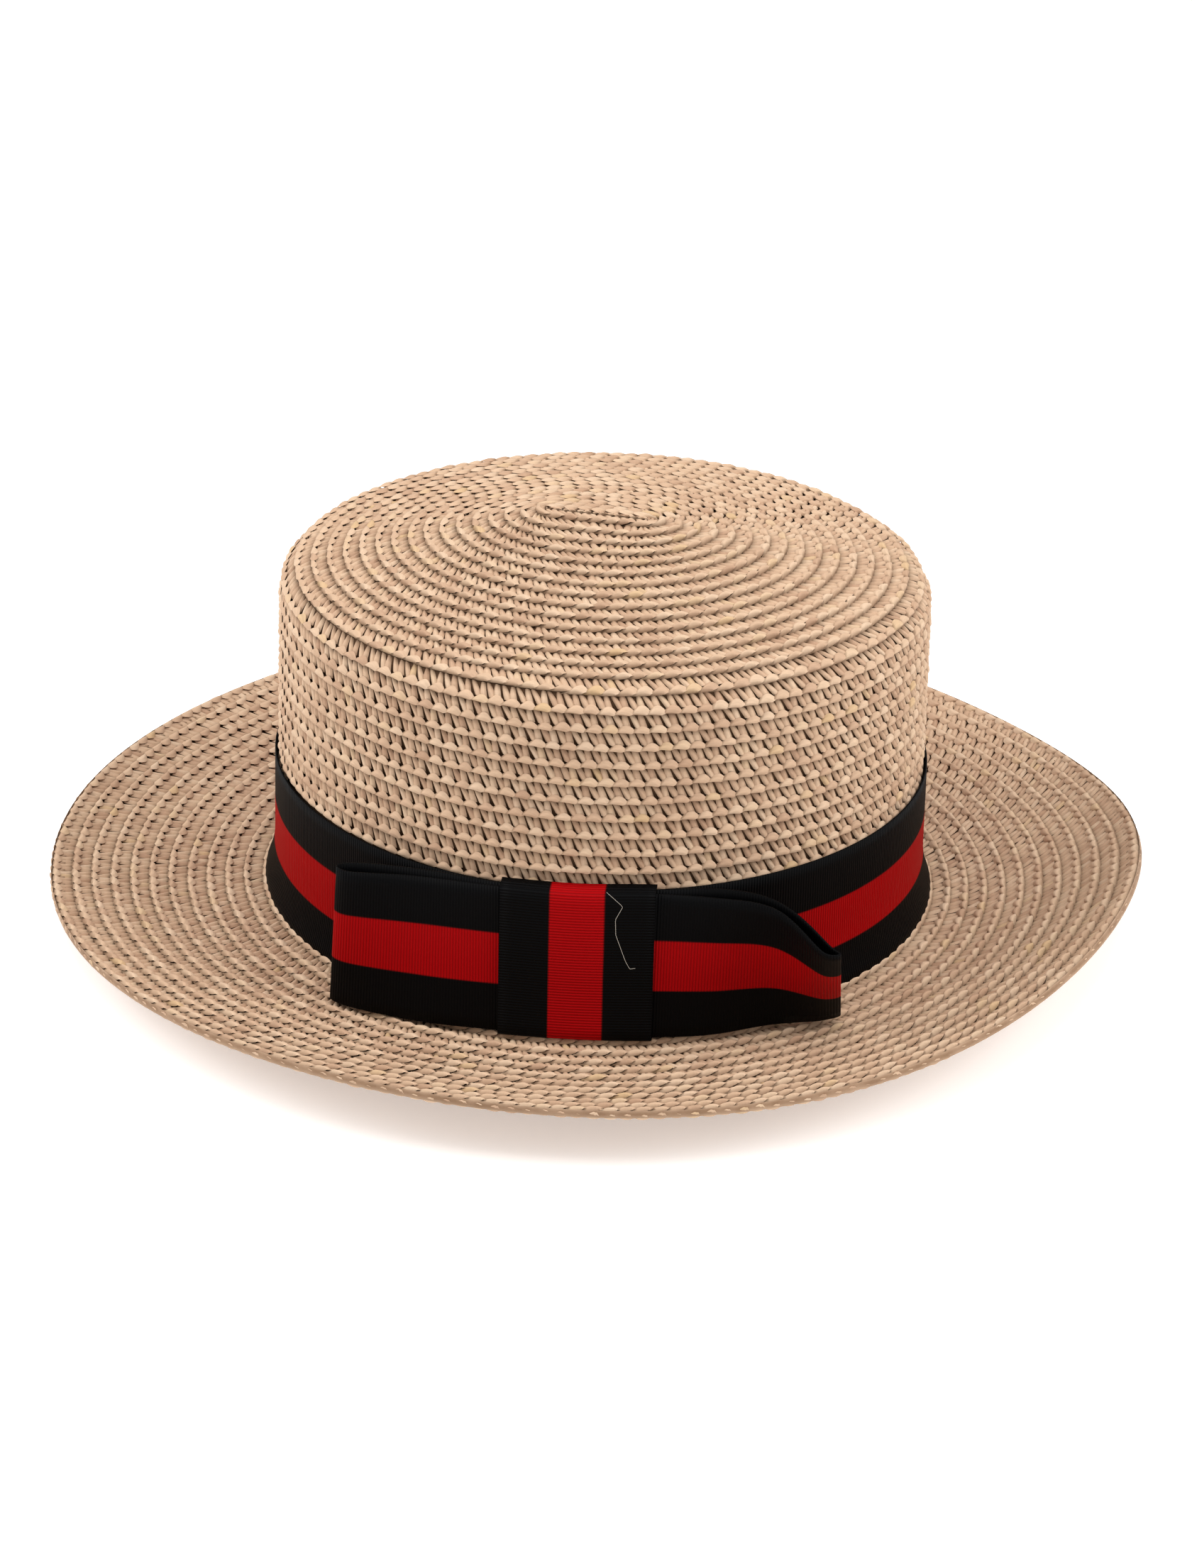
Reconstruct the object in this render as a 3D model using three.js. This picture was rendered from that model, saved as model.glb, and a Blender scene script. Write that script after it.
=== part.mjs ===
// Straw boater hat: a sewn paper-straw body (oval crown and brim in one), a striped
// grosgrain band round the foot of the crown, and a flat bow of the same ribbon.
// Millimetres, +Z up. Z = 0 is the plane the hat rests on, the Z axis runs up through
// the middle of the crown, +X along the oval's length, -Y is the side with the bow.
import * as THREE from 'three';

// ---- the oval: a ring at half width r is r + OVAL_GAIN half long ----
const OVAL_GAIN = 15.4;
const AROUND = 72;

// ---- crown ----
const CROWN_FOOT_HALF_WIDTH = 83.2;
const CROWN_TOP_HALF_WIDTH = 80.4;
const CROWN_HEIGHT = 109.6;
const SHOULDER_RADIUS = 10.6;
const CROWN_RISE = 13.0;
const APEX_SET_X = -3.0;
const APEX_SET_Y = 3.0;
const FOOT_FILLET = 3.0;
const CROWN_SET_X = 1.6;
const CROWN_LEAN_X = 2.3;
const STRAW_THICKNESS = 2.0;

// ---- brim ----
const BRIM_WIDTH = 67.8;
const BRIM_FLAT_WIDTH = 12.0;
const BRIM_CURL_POWER = 1.6;
// Height of the rim above the resting plane: a mean and the waves round the oval.
const RIM_WAVES = [
  { turns: 0, cosine: 12.4, sine: 0.0 },
  { turns: 1, cosine: 4.9, sine: -6.9 },
  { turns: 2, cosine: 0.7, sine: -1.0 },
  { turns: 3, cosine: 2.5, sine: -1.3 },
  { turns: 4, cosine: 1.3, sine: -0.9 },
];

// ---- ribbon ----
const RIBBON_WIDTH = 44.3;
const RIBBON_THICKNESS = 1.0;
const GAP = 0.3;
const BAND_FLARE = 3.0;
const BAND_FLARE_HEIGHT = 16.0;

// ---- bow: where the middle line of the ribbon's bottom and top edges run, front panel
// from left to right and then the rear panel back again; the top height follows from
// the ribbon's width ----
const LOOP_STATIONS = [
  { name: 'left fold', bottomX: -65.0, bottomY: -83.2, bottomZ: 3.6, topX: -61.7, topY: -81.4 },
  { name: 'left front end', bottomX: -62.2, bottomY: -85.8, bottomZ: 3.6, topX: -59.2, topY: -83.8 },
  { name: 'left front middle', bottomX: -38.0, bottomY: -91.6, bottomZ: 3.6, topX: -37.2, topY: -82.6 },
  { name: 'front at knot, left', bottomX: -13.5, bottomY: -93.2, bottomZ: 3.8, topX: -14.0, topY: -85.3 },
  { name: 'front at knot, middle', bottomX: 8.0, bottomY: -93.0, bottomZ: 3.8, topX: 8.0, topY: -86.0 },
  { name: 'front at knot, right', bottomX: 29.5, bottomY: -90.8, bottomZ: 3.8, topX: 30.0, topY: -83.4 },
  { name: 'right front middle', bottomX: 46.0, bottomY: -87.0, bottomZ: 3.6, topX: 47.4, topY: -83.8 },
  { name: 'right front bend', bottomX: 63.0, bottomY: -80.6, bottomZ: 4.4, topX: 63.8, topY: -87.8 },
  { name: 'right front end', bottomX: 78.0, bottomY: -77.6, bottomZ: 5.4, topX: 78.4, topY: -100.6 },
  { name: 'right fold', bottomX: 82.4, bottomY: -75.2, bottomZ: 5.8, topX: 82.8, topY: -99.6 },
  { name: 'right rear end', bottomX: 79.0, bottomY: -73.0, bottomZ: 5.6, topX: 79.6, topY: -94.6 },
  { name: 'right rear bend', bottomX: 62.0, bottomY: -76.4, bottomZ: 4.6, topX: 62.4, topY: -80.8 },
  { name: 'right rear middle', bottomX: 45.0, bottomY: -82.8, bottomZ: 3.8, topX: 45.6, topY: -79.2 },
  { name: 'rear at knot, right', bottomX: 29.0, bottomY: -87.6, bottomZ: 3.8, topX: 29.6, topY: -81.6 },
  { name: 'rear at knot, middle', bottomX: 8.0, bottomY: -90.2, bottomZ: 3.8, topX: 8.0, topY: -84.4 },
  { name: 'rear at knot, left', bottomX: -13.5, bottomY: -90.0, bottomZ: 3.8, topX: -13.8, topY: -83.7 },
  { name: 'left rear middle', bottomX: -38.0, bottomY: -86.0, bottomZ: 3.6, topX: -37.2, topY: -79.6 },
  { name: 'left rear end', bottomX: -62.0, bottomY: -80.8, bottomZ: 3.6, topX: -59.4, topY: -79.8 },
];
const LOOP_SAMPLES = 72;

// ---- knot: the same ribbon wrapped up the front of the loops ----
const KNOT_ACROSS_STEPS = 4;
const KNOT_LEFT_X = -14.0;
const KNOT_RIGHT_X = 29.9;
const KNOT_BACK_REACH = 4.2;

const STRAW = new THREE.MeshStandardMaterial({ color: 0xd8b692, roughness: 0.8, metalness: 0.0 });
const RIBBON = new THREE.MeshStandardMaterial({ color: 0x17161b, roughness: 0.6, metalness: 0.0 });
const BOW_RIBBON = new THREE.MeshStandardMaterial({ color: 0x1c191e, roughness: 0.6, metalness: 0.0 });
const KNOT_RIBBON = new THREE.MeshStandardMaterial({ color: 0x201a1f, roughness: 0.6, metalness: 0.0 });

// A point of the oval ring of half width r whose outward normal points at the angle.
// Rings of growing r are parallel to one another, as rows of sewn braid are.
function ovalPoint(r, angle) {
  const support = r + OVAL_GAIN * Math.cos(angle) ** 2;
  const slope = -OVAL_GAIN * Math.sin(2 * angle);
  const x = support * Math.cos(angle) - slope * Math.sin(angle);
  const y = support * Math.sin(angle) + slope * Math.cos(angle);
  return [x, y];
}

// The crown stands a little off the brim's middle and leans further with its height.
function crownPoint(r, z, angle) {
  const [x, y] = ovalPoint(r, angle);
  const share = Math.max(z, 0) / CROWN_HEIGHT;
  return new THREE.Vector3(x + CROWN_SET_X + CROWN_LEAN_X * share, y, z);
}

// The top rises in a very low cone from the shoulder (share 1) to its middle (share 0).
function crownTopPoint(share, inset, angle) {
  const [x, y] = ovalPoint((CROWN_TOP_HALF_WIDTH - SHOULDER_RADIUS) * share, angle);
  const middleX = CROWN_SET_X + CROWN_LEAN_X + APEX_SET_X * (1 - share);
  const z = CROWN_HEIGHT - inset + CROWN_RISE * (1 - share);
  return new THREE.Vector3(x + middleX, y + APEX_SET_Y * (1 - share), z);
}

// Half width of the outside of the crown's wall at a height.
function wallHalfWidth(z) {
  const share = z / (CROWN_HEIGHT - SHOULDER_RADIUS);
  return CROWN_FOOT_HALF_WIDTH + (CROWN_TOP_HALF_WIDTH - CROWN_FOOT_HALF_WIDTH) * share;
}

// Height of the rim at an angle round the oval.
function rimHeight(angle) {
  let height = 0;
  for (const wave of RIM_WAVES) {
    height += wave.cosine * Math.cos(wave.turns * angle);
    height += wave.sine * Math.sin(wave.turns * angle);
  }
  return height;
}

// Lift of the brim at a distance out from the foot of the crown.
function brimLift(out, angle) {
  const share = Math.max(out - BRIM_FLAT_WIDTH, 0) / (BRIM_WIDTH - BRIM_FLAT_WIDTH);
  return rimHeight(angle) * share ** BRIM_CURL_POWER;
}

function brimPoint(out, level, angle) {
  const [x, y] = ovalPoint(CROWN_FOOT_HALF_WIDTH + out, angle);
  const set = CROWN_SET_X * (1 - Math.max(out, 0) / BRIM_WIDTH);
  return new THREE.Vector3(x + set, y, level + brimLift(out, angle));
}

// Closed mesh from corner points and triangles, turned the right way out.
function solidMesh(name, points, triangles, material) {
  let volume = 0;
  for (const [a, b, c] of triangles) {
    const cross = new THREE.Vector3().crossVectors(points[b], points[c]);
    volume += points[a].dot(cross);
  }
  const flat = [];
  for (const [a, b, c] of triangles) {
    const corners = volume > 0 ? [a, b, c] : [a, c, b];
    for (const corner of corners) {
      flat.push(corner);
    }
  }
  const geometry = new THREE.BufferGeometry();
  const positions = points.flatMap((point) => [point.x, point.y, point.z]);
  geometry.setAttribute('position', new THREE.Float32BufferAttribute(positions, 3));
  geometry.setIndex(flat);
  geometry.computeVertexNormals();
  const mesh = new THREE.Mesh(geometry, material);
  mesh.name = name;
  return mesh;
}

// Joins a grid of rings with triangles; rows are rings of equal length.
function stitchRings(first, second, count, triangles) {
  for (let i = 0; i < count; i += 1) {
    const next = (i + 1) % count;
    triangles.push([first + i, first + next, second + next]);
    triangles.push([first + i, second + next, second + i]);
  }
}

// ---- straw body: rings from the middle of the top, down the outside, round the rim and
// back up the inside ----
function strawBody() {
  const rings = [];
  const addRing = (place) => {
    const ring = [];
    for (let i = 0; i < AROUND; i += 1) {
      ring.push(place((i / AROUND) * Math.PI * 2));
    }
    rings.push(ring);
  };
  const shoulderSteps = 5;
  const topShares = [0.34, 0.67];
  const topSlope = Math.atan2(CROWN_RISE, CROWN_TOP_HALF_WIDTH - SHOULDER_RADIUS);
  const wallLevels = [CROWN_HEIGHT * 0.62, CROWN_HEIGHT * 0.36];
  const shoulderTurn = (k) => topSlope + (k / shoulderSteps) * (Math.PI / 2 - topSlope);
  const shoulderRing = (radius, turn, inset) => {
    const r = CROWN_TOP_HALF_WIDTH - inset - radius + radius * Math.sin(turn);
    const z = CROWN_HEIGHT - inset - radius + radius * Math.cos(turn);
    addRing((angle) => crownPoint(r, z, angle));
  };
  for (const share of topShares) {
    addRing((angle) => crownTopPoint(share, 0, angle));
  }
  for (let k = 0; k <= shoulderSteps; k += 1) {
    shoulderRing(SHOULDER_RADIUS, shoulderTurn(k), 0);
  }
  for (const z of wallLevels) {
    addRing((angle) => crownPoint(wallHalfWidth(z), z, angle));
  }
  const filletTop = STRAW_THICKNESS + FOOT_FILLET;
  addRing((angle) => crownPoint(wallHalfWidth(filletTop), filletTop, angle));
  const filletMiddle = FOOT_FILLET * (1 - Math.SQRT1_2);
  addRing((angle) => brimPoint(filletMiddle, STRAW_THICKNESS + filletMiddle, angle));
  const brimOuts = [FOOT_FILLET, BRIM_FLAT_WIDTH, 24, 35, 46, 57];
  for (const out of brimOuts) {
    addRing((angle) => brimPoint(out, STRAW_THICKNESS, angle));
  }
  const rimRound = STRAW_THICKNESS * 0.3;
  addRing((angle) => brimPoint(BRIM_WIDTH - rimRound, STRAW_THICKNESS, angle));
  addRing((angle) => brimPoint(BRIM_WIDTH, STRAW_THICKNESS - rimRound, angle));
  addRing((angle) => brimPoint(BRIM_WIDTH, rimRound, angle));
  addRing((angle) => brimPoint(BRIM_WIDTH - rimRound, 0, angle));
  for (const out of [...brimOuts].reverse()) {
    addRing((angle) => brimPoint(out, 0, angle));
  }
  addRing((angle) => brimPoint(-STRAW_THICKNESS + filletMiddle, 0, angle));
  const innerFoot = STRAW_THICKNESS + FOOT_FILLET;
  addRing((angle) => crownPoint(wallHalfWidth(innerFoot) - STRAW_THICKNESS, innerFoot, angle));
  for (const z of [...wallLevels].reverse()) {
    addRing((angle) => crownPoint(wallHalfWidth(z) - STRAW_THICKNESS, z, angle));
  }
  const innerRadius = SHOULDER_RADIUS - STRAW_THICKNESS;
  for (let k = shoulderSteps; k >= 0; k -= 1) {
    shoulderRing(innerRadius, shoulderTurn(k), STRAW_THICKNESS);
  }
  for (const share of [...topShares].reverse()) {
    addRing((angle) => crownTopPoint(share, STRAW_THICKNESS, angle));
  }
  const points = rings.flat();
  const triangles = [];
  for (let row = 0; row + 1 < rings.length; row += 1) {
    stitchRings(row * AROUND, (row + 1) * AROUND, AROUND, triangles);
  }
  const outerMiddle = points.length;
  const topX = CROWN_SET_X + CROWN_LEAN_X + APEX_SET_X;
  const outerTop = CROWN_HEIGHT + CROWN_RISE;
  points.push(new THREE.Vector3(topX, APEX_SET_Y, outerTop));
  const innerMiddle = points.length;
  points.push(new THREE.Vector3(topX, APEX_SET_Y, outerTop - STRAW_THICKNESS));
  const lastRing = (rings.length - 1) * AROUND;
  for (let i = 0; i < AROUND; i += 1) {
    const next = (i + 1) % AROUND;
    triangles.push([outerMiddle, next, i]);
    triangles.push([innerMiddle, lastRing + i, lastRing + next]);
  }
  return solidMesh('straw_body', points, triangles, STRAW);
}

// A sheet of cloth given as columns of middle points, made into a wall of a thickness.
function clothWall(name, columns, thickness, closedRound, material) {
  const count = columns.length;
  const height = columns[0].length;
  const at = (i, j) => {
    const column = closedRound ? (i + count) % count : Math.min(Math.max(i, 0), count - 1);
    return columns[column][Math.min(Math.max(j, 0), height - 1)];
  };
  const sides = [];
  for (const side of [0.5, -0.5]) {
    const points = [];
    for (let i = 0; i < count; i += 1) {
      for (let j = 0; j < height; j += 1) {
        const along = new THREE.Vector3().subVectors(at(i + 1, j), at(i - 1, j)).normalize();
        const up = new THREE.Vector3().subVectors(at(i, j + 1), at(i, j - 1)).normalize();
        const normal = new THREE.Vector3().crossVectors(along, up).normalize();
        points.push(at(i, j).clone().addScaledVector(normal, side * thickness));
      }
    }
    sides.push(points);
  }
  const total = count * height;
  const triangles = [];
  const last = closedRound ? count : count - 1;
  const quad = (a, b, c, d) => {
    triangles.push([a, b, c]);
    triangles.push([a, c, d]);
  };
  for (let i = 0; i < last; i += 1) {
    const here = i * height;
    const there = ((i + 1) % count) * height;
    for (let j = 0; j + 1 < height; j += 1) {
      quad(here + j, there + j, there + j + 1, here + j + 1);
      quad(total + here + j + 1, total + there + j + 1, total + there + j, total + here + j);
    }
    const top = height - 1;
    quad(total + here, total + there, there, here);
    quad(here + top, there + top, total + there + top, total + here + top);
  }
  if (!closedRound) {
    const end = (count - 1) * height;
    for (let j = 0; j + 1 < height; j += 1) {
      quad(j, j + 1, total + j + 1, total + j);
      quad(total + end + j, total + end + j + 1, end + j + 1, end + j);
    }
  }
  return solidMesh(name, [...sides[0], ...sides[1]], triangles, material);
}

// ---- band: hugs the wall and flares over the foot of the crown onto the brim ----
function hatBand() {
  const bottom = STRAW_THICKNESS + GAP + 0.1;
  const levels = [0, 0.07, 0.16, 0.3, 0.6, 1];
  const columns = [];
  for (let i = 0; i < AROUND; i += 1) {
    const angle = (i / AROUND) * Math.PI * 2;
    columns.push(levels.map((share) => {
      const z = bottom + RIBBON_WIDTH * share;
      const low = Math.max(1 - (z - bottom) / BAND_FLARE_HEIGHT, 0);
      const off = GAP + RIBBON_THICKNESS / 2 + BAND_FLARE * low ** 2;
      return crownPoint(wallHalfWidth(z) + off, z, angle);
    }));
  }
  return clothWall('hat_band', columns, RIBBON_THICKNESS, true, RIBBON);
}

// Bottom and top points of a ribbon panel; the top height follows from the width.
function panelEdges(station) {
  const bottom = new THREE.Vector3(station.bottomX, station.bottomY, station.bottomZ);
  const leanX = station.topX - station.bottomX;
  const leanY = station.topY - station.bottomY;
  const rise = Math.sqrt(RIBBON_WIDTH ** 2 - leanX ** 2 - leanY ** 2);
  const top = new THREE.Vector3(station.topX, station.topY, station.bottomZ + rise);
  return { bottom, top };
}

// ---- bow loops: one ribbon closed on itself and pressed flat, open above and below ----
function bowLoops() {
  const edges = LOOP_STATIONS.map(panelEdges);
  const bottomLine = new THREE.CatmullRomCurve3(edges.map((edge) => edge.bottom), true);
  const topLine = new THREE.CatmullRomCurve3(edges.map((edge) => edge.top), true);
  const columns = [];
  for (let i = 0; i < LOOP_SAMPLES; i += 1) {
    const bottom = bottomLine.getPoint(i / LOOP_SAMPLES);
    const top = topLine.getPoint(i / LOOP_SAMPLES);
    const middle = new THREE.Vector3().lerpVectors(bottom, top, 0.5);
    columns.push([bottom, middle, top]);
  }
  return clothWall('bow_loops', columns, RIBBON_THICKNESS, true, BOW_RIBBON);
}

// ---- knot: a short ribbon over the middle of the loops, its ends turned in above and
// below them ----
function bowKnot() {
  const edges = LOOP_STATIONS.filter((station) => station.name.startsWith('front at knot'))
    .map(panelEdges);
  const bottomLine = new THREE.CatmullRomCurve3(edges.map((edge) => edge.bottom));
  const topLine = new THREE.CatmullRomCurve3(edges.map((edge) => edge.top));
  const clear = RIBBON_THICKNESS + GAP + 0.2;
  const columns = [];
  for (let i = 0; i <= KNOT_ACROSS_STEPS; i += 1) {
    const share = i / KNOT_ACROSS_STEPS;
    const bottom = bottomLine.getPoint(share);
    const top = topLine.getPoint(share);
    bottom.x = KNOT_LEFT_X + (KNOT_RIGHT_X - KNOT_LEFT_X) * share;
    top.x = bottom.x;
    const low = STRAW_THICKNESS + GAP + RIBBON_THICKNESS / 2;
    const high = top.z + clear;
    const backBottom = new THREE.Vector3(bottom.x, bottom.y - clear + KNOT_BACK_REACH, low);
    const frontBottom = new THREE.Vector3(bottom.x, bottom.y - clear, low);
    const frontTop = new THREE.Vector3(top.x, top.y - clear, high);
    const backTop = new THREE.Vector3(top.x, top.y - clear + KNOT_BACK_REACH, high);
    const lowFace = new THREE.Vector3().lerpVectors(frontBottom, frontTop, 0.04);
    const highFace = new THREE.Vector3().lerpVectors(frontBottom, frontTop, 0.96);
    columns.push([backBottom, frontBottom, lowFace, highFace, frontTop, backTop]);
  }
  return clothWall('bow_knot', columns, RIBBON_THICKNESS, false, KNOT_RIBBON);
}

const hat = new THREE.Group();
hat.name = 'straw_boater_hat';
hat.add(strawBody(), hatBand(), bowLoops(), bowKnot());

export default hat;
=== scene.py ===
# Looks of the straw boater hat, in metres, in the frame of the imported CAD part.
import math

import bpy
import numpy as np
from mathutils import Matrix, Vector


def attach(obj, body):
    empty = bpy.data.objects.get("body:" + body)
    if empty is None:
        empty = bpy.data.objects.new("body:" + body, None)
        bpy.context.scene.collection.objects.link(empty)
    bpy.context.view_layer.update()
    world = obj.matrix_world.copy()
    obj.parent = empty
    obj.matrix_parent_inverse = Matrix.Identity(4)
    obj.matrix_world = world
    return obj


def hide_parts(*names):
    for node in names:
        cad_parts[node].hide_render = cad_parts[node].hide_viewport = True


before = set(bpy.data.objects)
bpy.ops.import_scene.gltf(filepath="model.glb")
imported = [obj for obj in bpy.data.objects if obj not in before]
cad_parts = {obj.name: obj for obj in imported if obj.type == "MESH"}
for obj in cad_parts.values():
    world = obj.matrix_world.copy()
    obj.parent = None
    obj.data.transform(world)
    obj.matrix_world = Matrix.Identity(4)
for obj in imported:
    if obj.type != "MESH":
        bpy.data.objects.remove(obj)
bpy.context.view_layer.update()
MM = 0.001


# ---------------------------------------------------------------- small helpers
def srgb(text, alpha=1.0):
    """A hex colour as linear red, green, blue and alpha."""
    parts = [int(text[i : i + 2], 16) / 255 for i in (1, 3, 5)]
    linear = [p / 12.92 if p <= 0.04045 else ((p + 0.055) / 1.055) ** 2.4 for p in parts]
    return (*linear, alpha)


def add(tree, kind, inputs=None, **settings):
    """Adds a shader node with its settings, and each input as a constant or a link."""
    node = tree.nodes.new("ShaderNode" + kind)
    for name, value in settings.items():
        setattr(node, name, value)
    for socket, value in (inputs or {}).items():
        if isinstance(value, bpy.types.NodeSocket):
            tree.links.new(value, node.inputs[socket])
        else:
            node.inputs[socket].default_value = value
    return node


def new_material(name):
    """An empty node material, its tree, and its Principled node."""
    material = bpy.data.materials.new(name)
    material.use_nodes = True
    tree = material.node_tree
    return material, tree, tree.nodes["Principled BSDF"]


def ramp(tree, factor, stops, interpolation="LINEAR"):
    """A colour ramp with a stop for each (position, hex colour)."""
    node = add(tree, "ValToRGB", {"Fac": factor})
    node.color_ramp.interpolation = interpolation
    elements = node.color_ramp.elements
    while len(elements) < len(stops):
        elements.new(1.0)
    for element, (position, colour) in zip(elements, stops):
        element.position = position
        element.color = srgb(colour)
    return node.outputs["Color"]


def mesh_piece(name, points, quads, material, slot, uv=None, tint=None, painted_shade=None):
    """A smooth mesh from corner points in millimetres and rows of four corner numbers."""
    mesh = bpy.data.meshes.new(name)
    quads = np.asarray(quads, np.int32)
    mesh.vertices.add(len(points))
    mesh.vertices.foreach_set("co", (np.asarray(points) * MM).astype(np.float32).ravel())
    mesh.loops.add(quads.size)
    mesh.loops.foreach_set("vertex_index", quads.ravel())
    mesh.polygons.add(len(quads))
    mesh.polygons.foreach_set("loop_start", np.arange(0, quads.size, 4, dtype=np.int32))
    mesh.polygons.foreach_set("use_smooth", np.ones(len(quads), bool))
    if uv is not None:
        layer = mesh.uv_layers.new(name="UVMap")
        layer.data.foreach_set("uv", np.asarray(uv, np.float32)[quads.ravel()].ravel())
    for label, values in (("tint", tint), ("painted_shade", painted_shade)):
        if values is not None:
            attribute = mesh.attributes.new(label, "FLOAT", "POINT")
            attribute.data.foreach_set("value", np.asarray(values, np.float32))
    mesh.update(calc_edges=True)
    mesh.validate()
    piece = bpy.data.objects.new(name, mesh)
    bpy.context.scene.collection.objects.link(piece)
    mesh.materials.append(material)
    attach(piece, "root")
    return piece


def grid_quads(rows, columns, closed=False, start=0):
    """Corner numbers of a grid's cells, stored row by row. Closed joins its last column to its first."""
    across = columns if closed else columns - 1
    i, j = np.meshgrid(np.arange(rows - 1), np.arange(across), indexing="ij")
    nxt = (j + 1) % columns
    cells = [i * columns + j, i * columns + nxt, (i + 1) * columns + nxt, (i + 1) * columns + j]
    return np.stack(cells, -1).reshape(-1, 4) + start


# ------------------------------------------------- the hat's form, in millimetres
# An oval ring has half width r along Y. Its half length, along X, is OVAL_GAIN more.
OVAL_GAIN, END_ROUNDING = 15.4, 0.02
CROWN_FOOT, CROWN_TOP, CROWN_HEIGHT = 83.2, 80.4, 109.6
SHOULDER, CROWN_RISE = 10.6, 13.0
CROWN_SET_X, CROWN_LEAN_X = 1.6, 2.3
APEX_SET_X, APEX_SET_Y = -3.0, 3.0
STRAIGHT_REACH, STRAIGHT_FADE, SLIT_TURN = 34, 1.5, 0.11
BRIM_WIDTH, BRIM_FLAT, BRIM_CURL = 67.8, 12.0, 1.6
RIM_COSINES = (12.4, 4.9, 0.7, 2.5, 1.3)
RIM_SINES = (0.0, -6.9, -1.0, -1.3, -0.9)
STRAW_THICKNESS = 2.0
RIM_START = BRIM_WIDTH - 1.0
SLOPE = math.atan2(CROWN_RISE, CROWN_TOP - SHOULDER)
TOP_REACH = (CROWN_TOP - SHOULDER + SHOULDER * math.sin(SLOPE)) / math.cos(SLOPE)
SHOULDER_REACH = SHOULDER * (math.pi / 2 - SLOPE)
WALL_REACH = CROWN_HEIGHT - SHOULDER


def oval(r, angle, straight=0.0):
    """A ring of half width r. Near the middle it is straight-sided, as the first rows are."""
    cosine, sine = np.cos(angle), np.sin(angle)
    soft = np.sqrt(cosine**2 + END_ROUNDING**2)
    support = r + OVAL_GAIN * ((1 - straight) * cosine**2 + straight * soft)
    slope = -OVAL_GAIN * cosine * sine * (2 * (1 - straight) + straight / soft)
    return support * cosine - slope * sine, support * sine + slope * cosine


def crown_surface(s, angle):
    """The outside of the crown, s along it from the middle of the top over the shoulder and down."""
    turn = SLOPE + np.clip(s - TOP_REACH, 0, SHOULDER_REACH) / SHOULDER
    down = np.maximum(s - TOP_REACH - SHOULDER_REACH, 0)
    r = CROWN_TOP - SHOULDER + SHOULDER * np.sin(turn)
    r = r + (CROWN_FOOT - CROWN_TOP) * down / WALL_REACH
    z = CROWN_HEIGHT - SHOULDER + SHOULDER * np.cos(turn) - down
    inward = np.maximum(TOP_REACH - s, 0)
    r = r - inward * math.cos(SLOPE)
    z = z + inward * math.sin(SLOPE)
    straight = np.clip(1 - s / STRAIGHT_REACH, 0, 1) ** STRAIGHT_FADE
    x, y = oval(r, angle, straight)
    x, y = x + SLIT_TURN * straight * y, y - SLIT_TURN * straight * x
    rise = inward / TOP_REACH
    x = x + CROWN_SET_X + CROWN_LEAN_X * np.clip(z / CROWN_HEIGHT, 0, 1) + APEX_SET_X * rise
    return np.stack([x, y + APEX_SET_Y * rise, z], -1)


def brim_surface(out, angle):
    """The top of the brim, out from the foot of the crown."""
    waves = enumerate(zip(RIM_COSINES, RIM_SINES))
    rim = sum(c * np.cos(k * angle) + s * np.sin(k * angle) for k, (c, s) in waves)
    share = np.maximum(out - BRIM_FLAT, 0) / (BRIM_WIDTH - BRIM_FLAT)
    x, y = oval(CROWN_FOOT + out, angle)
    x = x + CROWN_SET_X * (1 - np.clip(out / BRIM_WIDTH, 0, 1))
    return np.stack([x, y, STRAW_THICKNESS + rim * share**BRIM_CURL + 0 * x], -1)


def rim_surface(out, angle):
    """The edge of the brim, rolled over from its top to its underside."""
    turn = np.clip(out - RIM_START, 0, math.pi)
    points = brim_surface(np.minimum(out, RIM_START) + np.sin(turn), angle)
    points[..., 2] -= 1 - np.cos(turn)
    return points


def raised(surface, s, angle, height):
    """Points at a height over a surface, along its outward normal."""
    step, turn = 0.05, 0.0005
    down = surface(s + step, angle) - surface(s - step, angle)
    along = surface(s, angle + turn) - surface(s, angle - turn)
    normal = np.cross(down, along)
    normal /= np.linalg.norm(normal, axis=-1, keepdims=True) + 1e-12
    return surface(s, angle) + normal * height[..., None]
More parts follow.
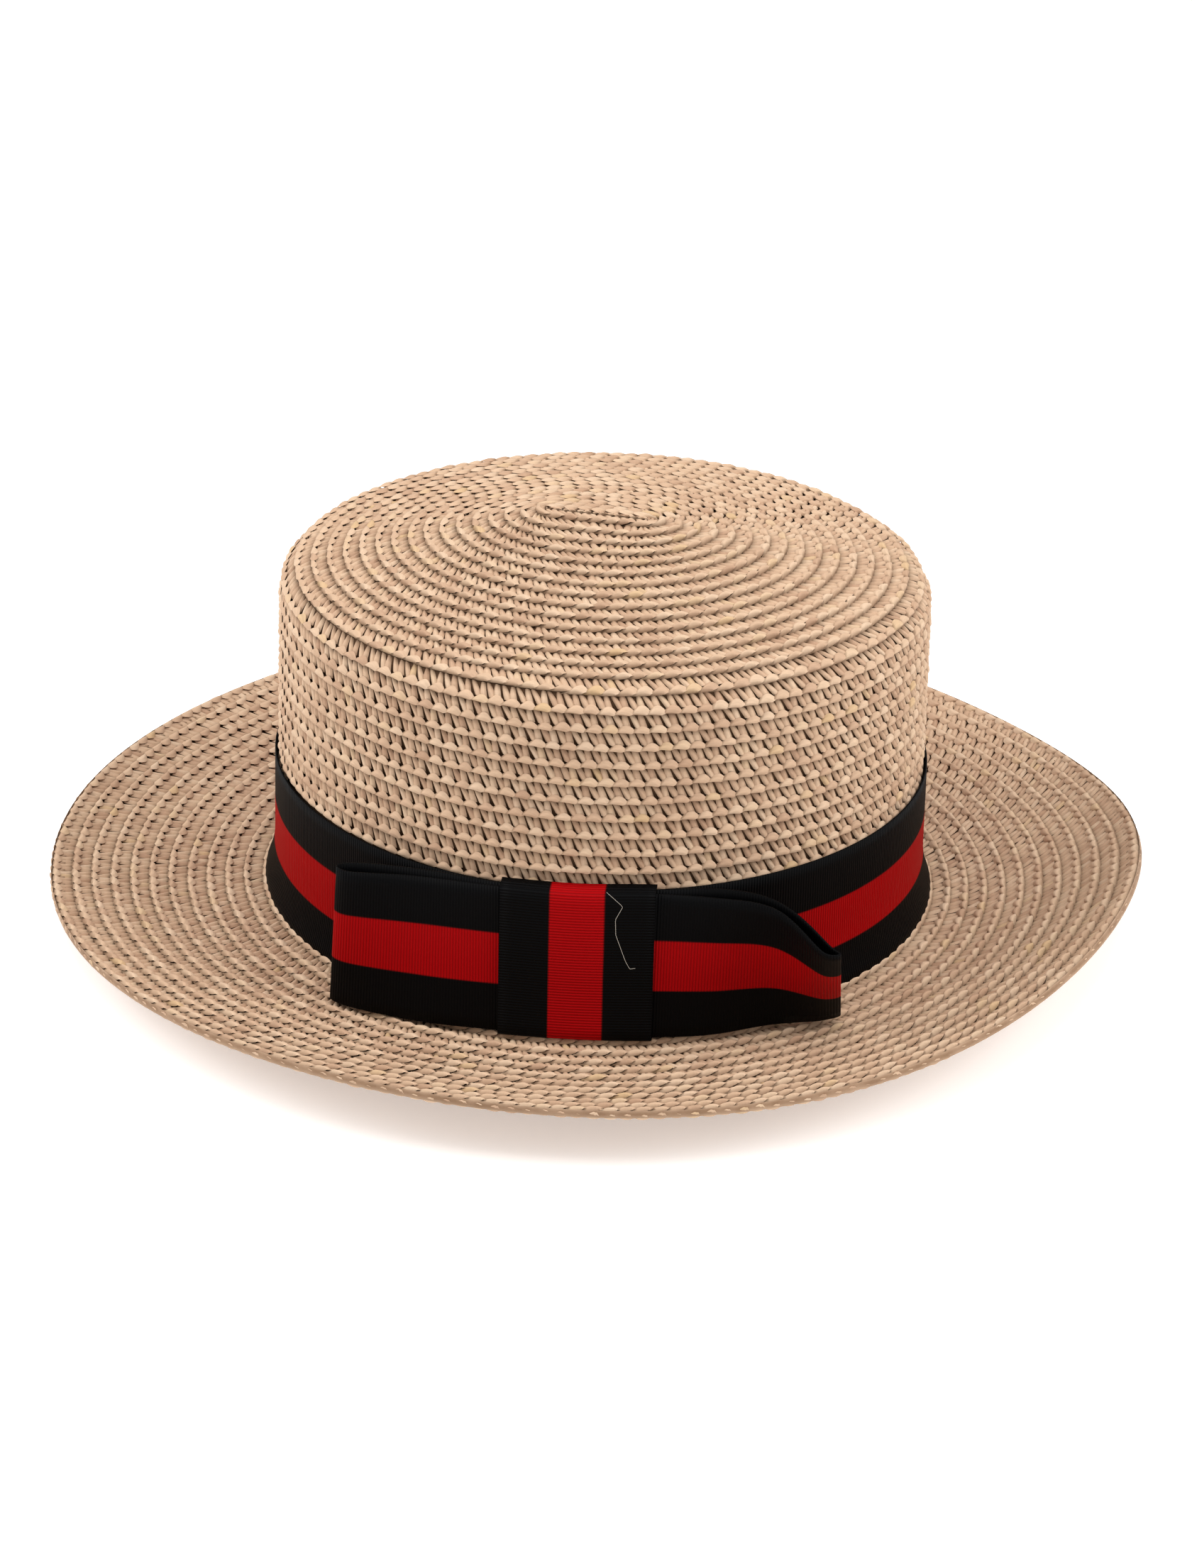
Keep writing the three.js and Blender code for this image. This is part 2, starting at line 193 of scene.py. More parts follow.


# ------------------------------------------------------------- straw materials
# Twisted paper straw: pale tan with a pink or yellow cast that changes from strand to
# strand, matt, and finely creased along each strand.
# A point attribute is low where a strand sinks into a gap, under the next leaf's edge and in the slit, and
# mixes a dark brown into the colour there: painted shade.
def straw_material(name, stops, bump):
    """Straw with a tint for each strand, fine creases along it and painted shade in its hollows."""
    material, tree, surface = new_material(name)
    tint = add(tree, "Attribute", attribute_name="tint").outputs["Fac"]
    place = add(tree, "TexCoord").outputs["Object"]
    uv = add(tree, "UVMap", uv_map="UVMap").outputs["UV"]
    patches = add(tree, "TexNoise", {"Vector": place, "Scale": 45.0, "Detail": 2.0}).outputs["Fac"]
    centred = add(tree, "Math", {0: patches, 1: 0.5}, operation="SUBTRACT").outputs[0]
    mottled = add(tree, "Math", {0: centred, 1: 0.3, 2: tint}, operation="MULTIPLY_ADD").outputs[0]
    colour = ramp(tree, mottled, stops)
    stretch = add(tree, "Mapping", {"Vector": uv, "Scale": (500.0, 2600.0, 1.0)}).outputs[0]
    creases = add(tree, "TexNoise", {"Vector": stretch, "Scale": 1.0, "Detail": 3.0}).outputs["Fac"]
    crease_range = {"From Min": 0.3, "From Max": 0.7, "To Min": 0.9, "To Max": 1.04}
    # The crease noise also scales the colour a little: fibre streaks along each strand, with painted shade in
    # the creases and a painted highlight on their ridges.
    shade = add(tree, "MapRange", {"Value": creases, **crease_range}).outputs[0]
    painted_shade = add(tree, "Attribute", attribute_name="painted_shade").outputs["Fac"]
    colour = add(tree, "VectorMath", {0: colour, "Scale": shade}, operation="SCALE").outputs[0]
    painted_shade_mix = {"Factor": painted_shade, "A": srgb(PAINTED_SHADE_BROWN)[:3], "B": colour}
    painted_shade_colour = add(tree, "Mix", painted_shade_mix, data_type="VECTOR").outputs["Result"]
    tree.links.new(painted_shade_colour, surface.inputs["Base Color"])
    relief = add(tree, "Bump", {"Height": creases, "Strength": bump, "Distance": 0.0002})
    tree.links.new(relief.outputs[0], surface.inputs["Normal"])
    surface.inputs["Roughness"].default_value = 0.72
    surface.inputs["Specular IOR Level"].default_value = 0.2
    return material


# Dark brown mixed into the straw as painted shade where strands sink into gaps.
PAINTED_SHADE_BROWN = "#533A22"
STRAW_STOPS = [(0.0, "#B69378"), (0.3, "#C3A286"), (0.5, "#CBAB8E"), (0.75, "#D3B69A"), (1.0, "#CAA982")]
straw = straw_material("paper_straw", STRAW_STOPS, 0.5)

# A plain dark brown: painted shade for the gaps between the strands.
shadow_straw, _, shadow_surface = new_material("painted_shade_in_the_gaps")
shadow_surface.inputs["Base Color"].default_value = srgb("#4B3119")
shadow_surface.inputs["Roughness"].default_value = 0.9


# -------------------------------------------------------------- the plaited braid
# Each row is a chain of leaf-like folds along its outer edge, with leaning strands
# between that chain and the row inside it. The leaves lap the next row's strands.
# Gaps, from 0 to 1, says how open the plait is. Scale is the pitch over the plain braid's.
PERIOD, PLAIN_PITCH = 4.45, 5.6
LEAF_STEPS, STRAND_STEPS = 8, 5
LEAF_EDGE, LEAF_OVERLAP_END = 2.72, 0.27
STRAND_START, STRAND_REACH = -3.3, 4.2
SLIT_EDGE, FIRST_ROW_REACH = 0.3, 2.4
LEAF_ACROSS = np.array([0.0, 0.3, 0.72, 1.0])
LEAF_LIFT = np.array([0.1, 0.85, 1.0, -0.5])
STRAND_ACROSS = np.array([0.0, 0.33, 0.67, 1.0])
STRAND_LIFT = np.array([-0.5, 1.0, 0.9, -0.5])


def leaf_shape(count, draw, scale, gaps):
    """Leaves as arrays of along, across, height, both texture places and painted shade, a row for each leaf.
    """
    u, v = np.meshgrid(np.linspace(0, 1, LEAF_STEPS), LEAF_ACROSS, indexing="ij")
    lift = np.broadcast_to(LEAF_LIFT, u.shape)
    u, v, lift = (a.ravel()[None, :] for a in (u, v, lift))
    length = draw.uniform(5.5, 6.4, (count, 1))
    width = draw.uniform(2.4, 3.1, (count, 1)) * scale
    lean = draw.uniform(1.4, 2.4, (count, 1))
    belly = np.sin(np.pi * np.clip(u, 0.03, 0.97) ** 1.3) ** 0.6
    along = (u - 0.5) * length + lean * (0.5 - v) + draw.uniform(-0.15, 0.15, (count, 1))
    edge = LEAF_EDGE * scale + draw.uniform(-0.12, 0.12, (count, 1))
    across = edge - (1 - v) * width * belly
    height = draw.uniform(-0.35, -0.1, (count, 1)) + 1.05 * lift * belly + 0.8 * (u - 0.5)
    # Painted shade: darker where a leaf starts under the tip of the leaf before it, and along its outer edge
    # as a painted shadow line.
    joint = 0.62 - 0.3 * gaps
    clear = np.clip(joint + 4.5 * (u - LEAF_OVERLAP_END), joint, 1.0)
    painted_shade = np.where(v > 0.9, 0.35, 1.0) * clear + 0 * along
    return along, across, height, u + 0 * along, v + 0 * along, painted_shade


def strand_shape(count, draw, scale, shift, lean, gaps):
    """Leaning strands, narrow where they come out and wide where they go under the leaves."""
    u, v = np.meshgrid(np.linspace(0, 1, STRAND_STEPS), STRAND_ACROSS, indexing="ij")
    lift = np.broadcast_to(STRAND_LIFT, u.shape)
    u, v, lift = (a.ravel()[None, :] for a in (u, v, lift))
    lean = draw.uniform(lean - 0.4, lean + 0.4, (count, 1))
    wide = draw.uniform(2.0, 2.5, (count, 1)) + 0.3 * (1 - gaps)
    narrow = draw.uniform(0.95, 1.35, (count, 1)) + 0.8 * (1 - gaps)
    width = narrow + (wide - narrow) * u**0.9
    along = shift * PERIOD + lean * (u - 0.5) + (v - 0.5) * width
    along = along + draw.uniform(-0.15, 0.15, (count, 1))
    across = (STRAND_START + STRAND_REACH * u) * scale + 0 * along
    height = -0.95 + 0.5 * u + draw.uniform(0.32, 0.5, (count, 1)) * lift
    # Painted shade: the sides of the strands darken as the gaps open, and their narrow ends, which come out
    # from under the row inside, darken most.
    sides = 1 - 0.38 * gaps * (np.abs(v - 0.5) > 0.4)
    clear = np.clip(0.3 + (2.2 + 1.5 * (1 - gaps)) * (u - 0.1), 0.3, 1.0)
    painted_shade = clear * sides + 0 * along
    return along, across, height, u + 0 * along, v + 0 * along, painted_shade


def braid_rows(surface, paths, pitch, draw, gaps):
    """Points, quads, texture places, tints and painted shade of the braid along each path of (s, angle)."""
    points, quads, places, tints, painted_shades, total = [], [], [], [], [], 0
    scale = pitch / PLAIN_PITCH
    for s_line, angle_line in paths:
        middle = surface(s_line, angle_line)
        steps = np.linalg.norm(np.diff(middle, axis=0), axis=1)
        run = np.concatenate([[0], np.cumsum(steps)])
        count = max(int(round(run[-1] / PERIOD)), 1)
        centres = ((np.arange(count) + 0.5) * run[-1] / count)[:, None]
        shapes = [
            (leaf_shape(count, draw, scale, gaps), LEAF_STEPS, len(LEAF_ACROSS), 0.0),
            (strand_shape(count, draw, scale, -0.24, 2.5, gaps), STRAND_STEPS, len(STRAND_ACROSS), -0.08),
            (strand_shape(count, draw, scale, 0.21, 1.1, gaps), STRAND_STEPS, len(STRAND_ACROSS), -0.08),
        ]
        for (along, across, height, u, v, painted_shade), long, wide, darker in shapes:
            place = centres + along
            s = np.maximum(np.interp(place, run, s_line) + across, 0.1)
            # Painted shade: darkest in the slit in the middle of the top, and only a little over the first
            # rows round it.
            first_row = np.where(s < SLIT_EDGE, 0.3, np.maximum(painted_shade, 0.85))
            painted_shade = np.where(s < FIRST_ROW_REACH, first_row, painted_shade)
            over = (place - run[-1]) * (place > run[-1]) + place * (place < 0)
            rate = (angle_line[-1] - angle_line[-2]) / max(steps[-1], 1e-6)
            angle = np.interp(place, run, angle_line) + over * rate
            made = raised(surface, s, angle, height)
            points.append(made.reshape(-1, 3))
            cell = grid_quads(long, wide)
            if darker != 0:
                cell = cell[:, ::-1]
            starts = total + np.arange(count)[:, None, None] * (long * wide)
            quads.append((cell[None] + starts).reshape(-1, 4))
            offset = draw.uniform(0, 1, (count, 1))
            strand_places = [(u * 4.5 + offset * 900) * MM, (v * 2 + offset * 700) * MM]
            places.append(np.stack(strand_places, -1).reshape(-1, 2))
            tone = np.clip(draw.normal(0.5, 0.2, (count, 1)) + darker, 0, 1)
            tints.append(np.broadcast_to(tone, along.shape).ravel())
            painted_shades.append(painted_shade.ravel())
            total += count * long * wide
    return [np.concatenate(parts) for parts in (points, quads, places, tints, painted_shades)]


def spiral(last, pitch, offset):
    """The middle line of the top's spiral: a short straight run of braid, then rows round it."""
    turns = np.linspace(0.02, (last - offset) / pitch, int(last / pitch * 1440))
    return np.maximum(turns * pitch + offset, 0.9), turns * 2 * math.pi


draw = np.random.default_rng(1895)

# ---- straw_crown_top: the spiral of the low top, from the slit in its middle to the shoulder,
# of twisted paper plaited into a flat braid and sewn row over row, fifteen rows
TOP_PITCH, WALL_PITCH, BRIM_PITCH = 5.0, 5.6, 5.65
TOP_ROWS, BRIM_ROWS, PATH_POINTS = 15, 12, 1441
TOP_ROWS_END = TOP_ROWS * TOP_PITCH + 1.5
top_path = spiral(TOP_ROWS_END, TOP_PITCH, -2.25)
top_points, top_quads, *top_marks = braid_rows(crown_surface, [top_path], TOP_PITCH, draw, 0.2)
top = mesh_piece("straw_crown_top", top_points, top_quads, straw, "straw", *top_marks)
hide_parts("straw_body")

# ---- straw_crown_wall: the rows over the shoulder and down to behind the band, the same
# braid going on round the hat block, its strands more open than on the top
ROWS_STOP = 44.0
crown_reach = TOP_REACH + SHOULDER_REACH + WALL_REACH
first_turn = top_path[1][-1] / (2 * math.pi)
last_turn = first_turn + (crown_reach - ROWS_STOP - TOP_ROWS_END) / WALL_PITCH
turns = np.linspace(first_turn, last_turn, 12000)
wall_path = (TOP_ROWS_END + (turns - turns[0]) * WALL_PITCH + 0.3, turns * 2 * math.pi)
wall_points, wall_quads, *wall_marks = braid_rows(crown_surface, [wall_path], WALL_PITCH, draw, 0.6)
mesh_piece("straw_crown_wall", wall_points, wall_quads, straw, "straw", *wall_marks)

# ---- straw_brim_inner, straw_brim_outer and straw_brim_edge: rows of the same braid round the
# brim, sewn each over the next from the foot of the crown outwards, the last one rolled over the rim
ring_angles = np.linspace(0, 2 * math.pi, PATH_POINTS)
rings = [
    (np.full(PATH_POINTS, BRIM_PITCH * (k + 0.5)), ring_angles + k * 0.37) for k in range(BRIM_ROWS)
]
rim_ring = [(np.full(PATH_POINTS, BRIM_WIDTH - 0.5), ring_angles + 0.2)]
for name, surface, chosen in (
    ("straw_brim_inner", brim_surface, rings[: BRIM_ROWS // 2]),
    ("straw_brim_outer", brim_surface, rings[BRIM_ROWS // 2 :]),
    ("straw_brim_edge", rim_surface, rim_ring),
):
    made_points, made_quads, *marks = braid_rows(surface, chosen, BRIM_PITCH, draw, 0.15)
    mesh_piece(name, made_points, made_quads, straw, "straw", *marks)

# ---- straw_backing: painted shade seen between the strands, a stand-in for the shaded layers of braid
# below them, made as one smooth dark brown skin just under the strands
BACKING_DEPTH, SKIN_COLUMNS = -1.15, 180
around = np.linspace(0, 2 * math.pi, SKIN_COLUMNS + 1)[:-1]
crown_s = np.concatenate([
    np.linspace(1.0, TOP_REACH, 28),
    np.linspace(TOP_REACH, TOP_REACH + SHOULDER_REACH, 9)[1:],
    np.linspace(TOP_REACH + SHOULDER_REACH, crown_reach - 4, 12)[1:],
])
brim_out = np.linspace(1.0, BRIM_WIDTH - 0.6, 22)
crown_grid = np.meshgrid(crown_s, around, indexing="ij")
brim_grid = np.meshgrid(brim_out, around, indexing="ij")
skin_points = np.concatenate([
    raised(crown_surface, *crown_grid, np.full(crown_grid[0].shape, BACKING_DEPTH)).reshape(-1, 3),
    raised(brim_surface, *brim_grid, np.full(brim_grid[0].shape, BACKING_DEPTH)).reshape(-1, 3),
])
skin_quads = grid_quads(len(crown_s) + len(brim_out), SKIN_COLUMNS, closed=True)[:, ::-1]
mesh_piece("straw_backing", skin_points, skin_quads, shadow_straw, "straw")

# ---- straw_reverse: the inside of the crown and the underside of the brim, the back of the same
# braid, one skin two millimetres in from the outside, its rows drawn by waves 5.6 mm apart
REVERSE_STOPS = [(0.2, "#8A6A4E"), (0.6, "#B7977B"), (1.0, "#C4A78E")]
reverse_straw, reverse_tree, reverse_surface = new_material("paper_straw_reverse")
reverse_uv = add(reverse_tree, "UVMap", uv_map="UVMap").outputs["UV"]
row_waves = {"Vector": reverse_uv, "Scale": 56.1, "Distortion": 0.6, "Detail": 2.0}
reverse_rows = add(reverse_tree, "TexWave", row_waves, bands_direction="Y", wave_profile="SIN").outputs["Fac"]
fibres = {"Vector": reverse_uv, "Scale": 320.0, "Detail": 3.0}
reverse_noise = add(reverse_tree, "TexNoise", fibres).outputs["Fac"]
height_parts = {0: reverse_noise, 1: 0.5, 2: reverse_rows}
reverse_height = add(reverse_tree, "Math", height_parts, operation="MULTIPLY_ADD").outputs[0]
# The troughs between the rows come out darker: painted shade, along with the bump.
reverse_colour = ramp(reverse_tree, reverse_height, REVERSE_STOPS)
reverse_tree.links.new(reverse_colour, reverse_surface.inputs["Base Color"])
reverse_bump = add(reverse_tree, "Bump", {"Height": reverse_height, "Strength": 0.6, "Distance": 0.0012})
reverse_tree.links.new(reverse_bump.outputs[0], reverse_surface.inputs["Normal"])
reverse_surface.inputs["Roughness"].default_value = 0.8

under_out = np.concatenate([[-1.0], brim_out, [BRIM_WIDTH]])
under_grid = np.meshgrid(under_out, around, indexing="ij")
under = raised(brim_surface, *under_grid, np.full(under_grid[0].shape, -STRAW_THICKNESS))
under[..., 2] = np.maximum(under[..., 2], 0.0)
rim_top = brim_surface(np.full(around.shape, BRIM_WIDTH + 0.2), around)[None]
inner = raised(crown_surface, *crown_grid, np.full(crown_grid[0].shape, -STRAW_THICKNESS))
reverse_points = np.concatenate([
    inner.reshape(-1, 3),
    under.reshape(-1, 3),
    rim_top.reshape(-1, 3),
])
reverse_quads = grid_quads(len(crown_s) + len(under_out) + 1, SKIN_COLUMNS, closed=True)
reverse_run = np.concatenate([crown_s, crown_s[-1] + 6 + under_out, [crown_s[-1] + 8 + BRIM_WIDTH]])
reverse_cells = np.meshgrid(reverse_run * MM, around * 95 * MM, indexing="ij")[::-1]
reverse_places = np.stack(reverse_cells, -1).reshape(-1, 2)
mesh_piece("straw_reverse", reverse_points, reverse_quads, reverse_straw, "straw", reverse_places)


# ------------------------------------------------------------- ribbon material
# Grosgrain ribbon, three nearly equal stripes, with fine ribs across its width.
BLACK, RED = "#030304", "#A20106"
STRIPES = [(0.0, BLACK), (0.325, BLACK), (0.335, RED), (0.675, RED), (0.685, BLACK)]
RIB_PITCH = 0.85


def ribbon_material(name):
    """Striped ribbon, its texture run along u in metres and across v from edge to edge."""
    material, tree, surface = new_material(name)
    uv = add(tree, "UVMap", uv_map="UVMap").outputs["UV"]
    split = add(tree, "SeparateXYZ", {"Vector": uv})
    along, across = split.outputs["X"], split.outputs["Y"]
    wobble = add(tree, "TexNoise", {"Vector": uv, "Scale": 60.0, "Detail": 1.0}).outputs["Fac"]
    edge = add(tree, "Math", {0: wobble, 1: 0.006, 2: across}, operation="MULTIPLY_ADD").outputs[0]
    stripe = ramp(tree, edge, STRIPES)
    per_metre = 2 * math.pi / (RIB_PITCH * MM)
    turns = add(tree, "Math", {0: along, 1: per_metre}, operation="MULTIPLY").outputs[0]
    wave = add(tree, "Math", {0: turns}, operation="SINE").outputs[0]
    ribs = add(tree, "MapRange", {"Value": wave, "From Min": -1.0, "From Max": 1.0}).outputs[0]
    # The grooves between the ribs are painted darker, painted shade, as well as bumped.
    groove_shade_range = {"From Min": 0.0, "From Max": 0.6, "To Min": 0.6, "To Max": 1.0}
    shade = add(tree, "MapRange", {"Value": ribs, **groove_shade_range}).outputs[0]
    colour = add(tree, "VectorMath", {0: stripe, "Scale": shade}, operation="SCALE").outputs[0]
    tree.links.new(colour, surface.inputs["Base Color"])
    relief = add(tree, "Bump", {"Height": ribs, "Strength": 0.5, "Distance": 0.0003})
    tree.links.new(relief.outputs[0], surface.inputs["Normal"])
    surface.inputs["Roughness"].default_value = 0.55
    surface.inputs["Specular IOR Level"].default_value = 0.06
    return material


ribbon = ribbon_material("grosgrain_ribbon")
RIBBON_WIDTH, CLOTH, WELD = 44.3, 0.5, 0.00001


def ribbon_piece(name, columns, closed, slot, thickness=CLOTH):
    """Cloth from columns of points, bottom to top, with a thickness and the ribbon's run as texture."""
    columns = np.asarray(columns)
    count, high = columns.shape[:2]
    middle = columns[:, high // 2]
    steps = np.linalg.norm(np.diff(middle, axis=0, append=middle[:1]), axis=1)
    run = np.concatenate([[0], np.cumsum(steps)])
    if closed:
        columns = np.concatenate([columns, columns[:1]])
        count += 1
    share = np.linspace(0, 1, high)
    places = np.stack(np.meshgrid(run[:count] * MM, share, indexing="ij"), -1).reshape(-1, 2)
    piece = mesh_piece(name, columns.reshape(-1, 3), grid_quads(count, high), ribbon, slot, places)
    bpy.ops.object.select_all(action="DESELECT")
    bpy.context.view_layer.objects.active = piece
    piece.select_set(True)
    if closed:
        bpy.ops.object.mode_set(mode="EDIT")
        bpy.ops.mesh.select_all(action="SELECT")
        bpy.ops.mesh.remove_doubles(threshold=WELD)
        bpy.ops.object.mode_set(mode="OBJECT")
    solid = piece.modifiers.new("cloth", "SOLIDIFY")
    solid.thickness, solid.offset = thickness * MM, 0.0
    bpy.ops.object.modifier_apply(modifier="cloth")
    return piece


# ---- hat_band_cloth: the ribbon round the foot of the crown, of ribbed grosgrain, pulled tight in
# one closed ring with no join, its lower edge flared where it meets the brim
BAND_BOTTOM, BAND_FLARE, FLARE_HEIGHT, BAND_GAP = 2.4, 3.0, 16.0, 1.5
band_levels = BAND_BOTTOM + RIBBON_WIDTH * np.linspace(0, 1, 15) ** 1.15
band_columns = []
for angle in np.linspace(0, 2 * math.pi, 241)[:-1]:
    low = np.maximum(1 - (band_levels - BAND_BOTTOM) / FLARE_HEIGHT, 0)
    r = CROWN_FOOT + (CROWN_TOP - CROWN_FOOT) * band_levels / WALL_REACH + BAND_GAP + BAND_FLARE * low**2
    x, y = oval(r, angle)
    x = x + CROWN_SET_X + CROWN_LEAN_X * band_levels / CROWN_HEIGHT
    band_columns.append(np.stack([x, y, band_levels], -1))
band = ribbon_piece("hat_band_cloth", band_columns, True, "band_ribbon")
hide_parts("hat_band")

# ---- bow_loops_cloth: one closed loop of the same ribbon, folded at its left and right ends and
# pressed flat, its right end sagging outwards at the top
BOW_STATIONS = np.array([  # bottom x, y and z, then top x and y, of the middle of the cloth
    (-65.0, -83.2, 3.6, -61.7, -81.4), (-62.2, -85.8, 3.6, -59.2, -83.8),
    (-38.0, -91.6, 3.6, -37.2, -82.6), (-13.5, -93.2, 3.8, -14.0, -85.3),
    (8.0, -93.0, 3.8, 8.0, -86.0), (29.5, -90.8, 3.8, 30.0, -83.4),
    (46.0, -87.0, 3.6, 47.4, -83.8), (63.0, -80.6, 4.4, 63.8, -87.8),
    (78.0, -77.6, 5.4, 78.4, -100.6), (82.4, -75.2, 5.8, 82.8, -99.6),
    (79.2, -73.6, 5.6, 79.8, -97.0), (62.2, -77.4, 4.6, 62.6, -83.4),
    (45.0, -82.8, 3.8, 45.6, -79.2), (29.0, -87.6, 3.8, 29.6, -81.6),
    (8.0, -90.2, 3.8, 8.0, -84.4), (-13.5, -90.0, 3.8, -13.8, -83.7),
    (-38.0, -86.0, 3.6, -37.2, -79.6), (-62.0, -80.8, 3.6, -59.4, -79.8),
])


def smooth_loop(rows, steps):
    """A closed curve through each row of numbers, with the same count of steps between rows."""
    before, after, beyond = (np.roll(rows, shift, axis=0) for shift in (1, -1, -2))
    t = (np.arange(steps) / steps)[None, :, None]
    a, b, c, d = before[:, None], rows[:, None], after[:, None], beyond[:, None]

    def gap(p, q):
        length = np.linalg.norm(q[..., :3] - p[..., :3], axis=-1, keepdims=True)
        return np.maximum(length, 1e-6) ** 0.5

    ab, bc, cd = gap(a, b), gap(b, c), gap(c, d)
    start = ((b - a) / ab - (c - a) / (ab + bc) + (c - b) / bc) * bc
    end = ((c - b) / bc - (d - b) / (bc + cd) + (d - c) / cd) * bc
    made = (2 * t**3 - 3 * t**2 + 1) * b + (t**3 - 2 * t**2 + t) * start
    made = made + (3 * t**2 - 2 * t**3) * c + (t**3 - t**2) * end
    return made.reshape(-1, rows.shape[1])


loop_edges = smooth_loop(BOW_STATIONS, 10)
bottom = loop_edges[:, :3]
rise = np.sqrt(RIBBON_WIDTH**2 - ((loop_edges[:, 3:5] - bottom[:, :2]) ** 2).sum(1))
top_edge = np.stack([loop_edges[:, 3], loop_edges[:, 4], bottom[:, 2] + rise], -1)
heights = np.linspace(0, 1, 13)[None, :, None]
loop_columns = bottom[:, None] * (1 - heights) + top_edge[:, None] * heights
loops = ribbon_piece("bow_loops_cloth", loop_columns, True, "bow_ribbon")
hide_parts("bow_loops")

# ---- bow_knot_cloth: a short piece of the same ribbon wrapped up the front of the loops and turned
# over their top and bottom edges, left open behind, where a real one is sewn to the band
KNOT_LEFT, KNOT_RIGHT, KNOT_CLEAR, KNOT_REACH = -14.0, 29.9, 1.3, 4.2
front = slice(30, 51)
knot_bottom, knot_top = bottom[front], top_edge[front]
knot_x = np.linspace(KNOT_LEFT, KNOT_RIGHT, 13)
knot_rows = []
for share in np.concatenate([[-0.09, -0.06, -0.025], np.linspace(0, 1, 15), [1.025, 1.06, 1.09]]):
    inside = min(max(share, 0.0), 1.0)
    line = knot_bottom * (1 - inside) + knot_top * inside
    y = np.interp(knot_x, line[:, 0], line[:, 1]) - KNOT_CLEAR
    z = np.interp(knot_x, line[:, 0], line[:, 2])
    past = max(-share, share - 1, 0.0) / 0.09
    z = z + math.copysign(1.0, share - 0.5) * KNOT_CLEAR * 0.8 * math.sin(past * math.pi / 2)
    y = y + KNOT_REACH * (1 - math.cos(past * math.pi / 2))
    knot_rows.append(np.stack([knot_x, y, z], -1))
knot_columns = np.stack(knot_rows)
knot = ribbon_piece("bow_knot_cloth", knot_columns, False, "knot_ribbon", 0.6)
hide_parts("bow_knot")

# ---- loose_thread: a pale sewing thread that came loose and lies down the front of the knot, of
# polyester about 0.1 mm thick, made as one bent tube and held by nothing but its upper end
thread_white, _, thread_surface = new_material("polyester_thread")
thread_surface.inputs["Base Color"].default_value = srgb("#B9B2A6")
thread_surface.inputs["Roughness"].default_value = 0.6
THREAD_RADIUS, THREAD_SIDES, THREAD_POINTS = 0.06, 6, 41
THREAD_LINE = np.array([  # share of the knot's width from the left, share of its height from the bottom
    (0.69, 1.03), (0.795, 0.93), (0.75, 0.84), (0.755, 0.735), (0.82, 0.555), (0.85, 0.50), (0.885, 0.505),
])
thread_steps = np.linspace(0, len(THREAD_LINE) - 1, THREAD_POINTS)
thread_marks = np.arange(len(THREAD_LINE))
thread_across, thread_up = (np.interp(thread_steps, thread_marks, THREAD_LINE[:, k]) for k in (0, 1))
thread_x = KNOT_LEFT + (KNOT_RIGHT - KNOT_LEFT) * thread_across
thread_points = []
for x, share in zip(thread_x, thread_up):
    line = knot_bottom * (1 - share) + knot_top * share
    y, z = (np.interp(x, line[:, 0], line[:, k]) for k in (1, 2))
    thread_points.append((x, y - KNOT_CLEAR - 0.3 - 2 * THREAD_RADIUS, z))
thread_points = np.array(thread_points)
tangent = np.gradient(thread_points, axis=0)
tangent /= np.linalg.norm(tangent, axis=1, keepdims=True)
side = np.cross(tangent, (0, -1, 0))
front_way = np.cross(side, tangent)
thread_turn = np.linspace(0, 2 * math.pi, THREAD_SIDES, endpoint=False)[None, :, None]
thread_ring = THREAD_RADIUS * (np.cos(thread_turn) * side[:, None] + np.sin(thread_turn) * front_way[:, None])
thread_mesh = (thread_points[:, None] + thread_ring).reshape(-1, 3)
thread_quads = grid_quads(THREAD_POINTS, THREAD_SIDES, closed=True)
mesh_piece("loose_thread", thread_mesh, thread_quads, thread_white, "knot_ribbon")

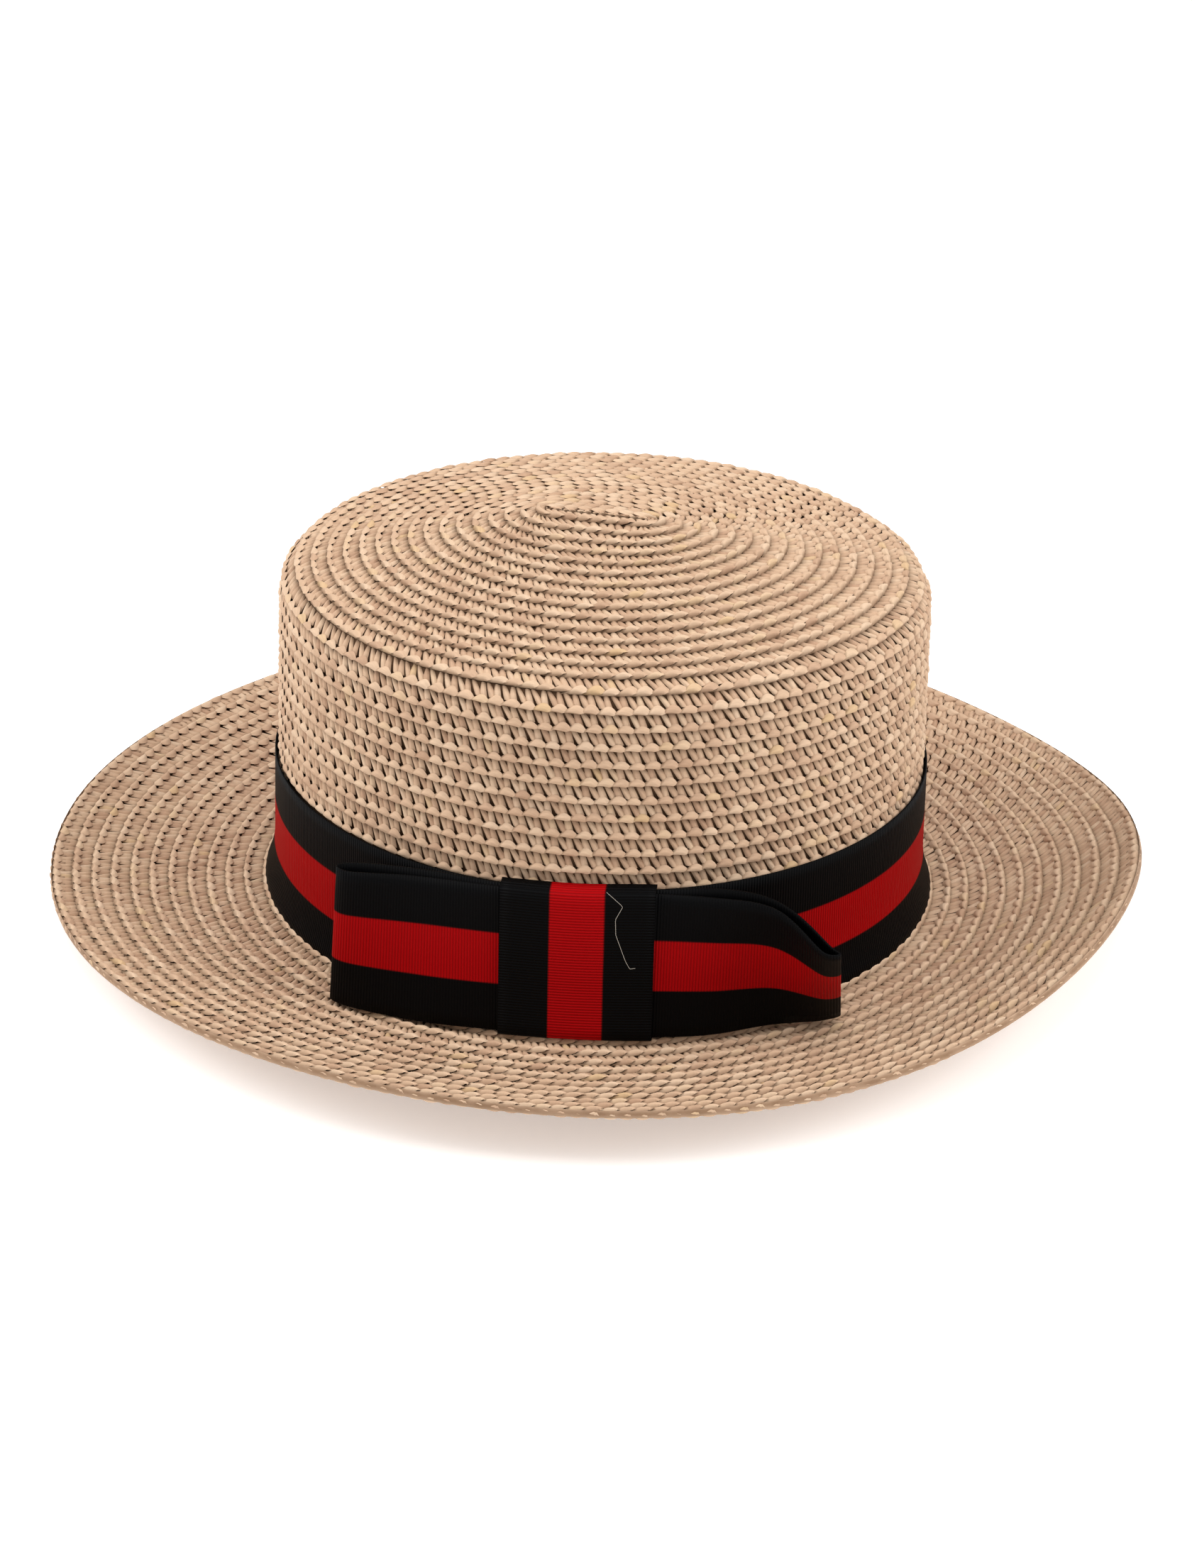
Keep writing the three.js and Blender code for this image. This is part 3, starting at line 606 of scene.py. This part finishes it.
# ---------------------------------------------------------------- floor, light, camera
bpy.ops.mesh.primitive_plane_add(size=30.0, location=(0, 0, 0))
floor = bpy.context.object
floor.name = "studio_floor"
floor_material, _, floor_surface = new_material("studio_paper")
floor_surface.inputs["Base Color"].default_value = (0.9, 0.9, 0.9, 1)
floor_surface.inputs["Emission Color"].default_value = (1, 1, 1, 1)
floor_surface.inputs["Emission Strength"].default_value = 0.3
floor_surface.inputs["Roughness"].default_value = 0.9
floor.data.materials.append(floor_material)

world = bpy.data.worlds.new("studio")
world.use_nodes = True
world.node_tree.nodes["Background"].inputs["Color"].default_value = (1, 1, 1, 1)
world.node_tree.nodes["Background"].inputs["Strength"].default_value = 0.6
bpy.context.scene.world = world


def softbox(name, place, size, power):
    """A square soft light that faces the hat."""
    light = bpy.data.lights.new(name, "AREA")
    light.shape, light.size, light.energy = "SQUARE", size, power
    holder = bpy.data.objects.new(name, light)
    bpy.context.scene.collection.objects.link(holder)
    holder.location = place
    aim = Vector((0, 0, 0.05)) - Vector(place)
    holder.rotation_mode = "QUATERNION"
    holder.rotation_quaternion = aim.to_track_quat("-Z", "Y")


softbox("left_light", (-1.35, -0.15, 1.1), 1.0, 16.0)
softbox("right_light", (1.35, -0.15, 1.1), 1.0, 16.0)
softbox("top_light", (0.0, -0.3, 1.7), 1.0, 11.0)

TARGET, DISTANCE = Vector((0, 0, 0.045)), 0.977
AZIMUTH, ELEVATION = math.radians(-7.9), math.radians(29.86)
level = math.cos(ELEVATION)
look = Vector((math.sin(AZIMUTH) * level, math.cos(AZIMUTH) * level, -math.sin(ELEVATION)))
camera = bpy.data.objects.new("camera", bpy.data.cameras.new("camera"))
bpy.context.scene.collection.objects.link(camera)
camera.location = TARGET - look * DISTANCE
camera.rotation_mode = "QUATERNION"
camera.rotation_quaternion = look.to_track_quat("-Z", "Y")
camera.data.lens = 73.77
camera.data.sensor_width = 36.0
camera.data.shift_x, camera.data.shift_y = 0.00285, -0.0233
bpy.context.scene.camera = camera
bpy.context.scene.view_settings.view_transform = "Standard"
